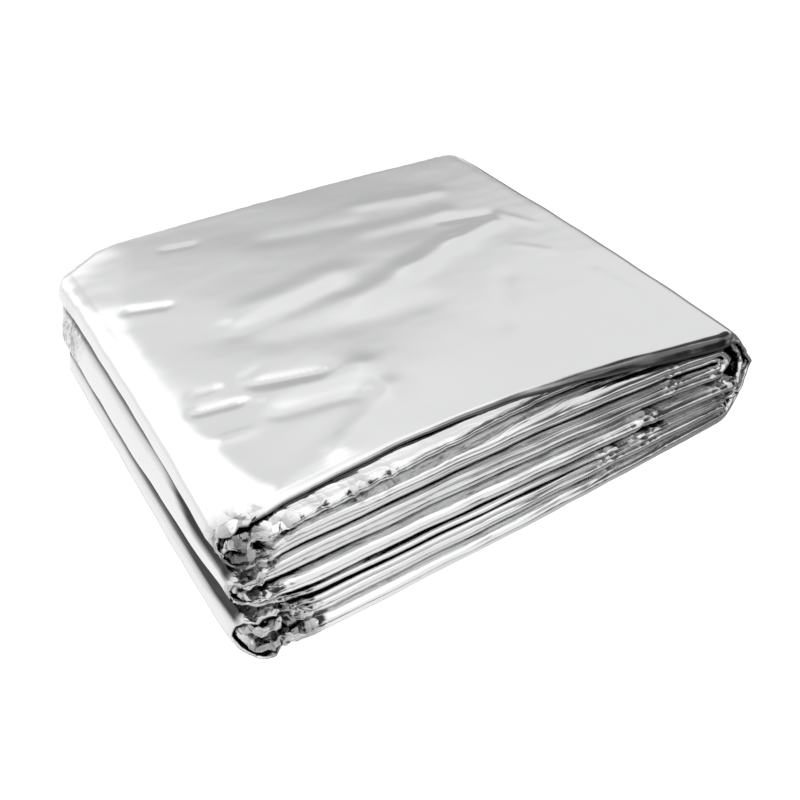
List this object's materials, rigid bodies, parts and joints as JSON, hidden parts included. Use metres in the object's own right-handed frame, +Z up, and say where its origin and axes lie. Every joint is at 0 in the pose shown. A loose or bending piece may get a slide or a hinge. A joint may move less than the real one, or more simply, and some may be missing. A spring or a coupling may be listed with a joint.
{
  "type": "emergency foil blanket",
  "caption": "Metallised film blanket folded into a flat rectangular packet, pleated lengthwise and then folded across.",
  "frame": {"origin": "on the surface the packet rests on, under the middle of its bounding box", "axes": "+X along the packet's long side, towards the end where the outermost layers wrap round; +Y from the layered front to the back; +Z up through the layers"},
  "size_m": [0.1346, 0.1145, 0.0277],
  "materials": {
    "foil": "bright metallised film, softly creased"
  },
  "bodies": {
    "root": {"foil_blanket": "foil"}
  },
  "joints": []
}
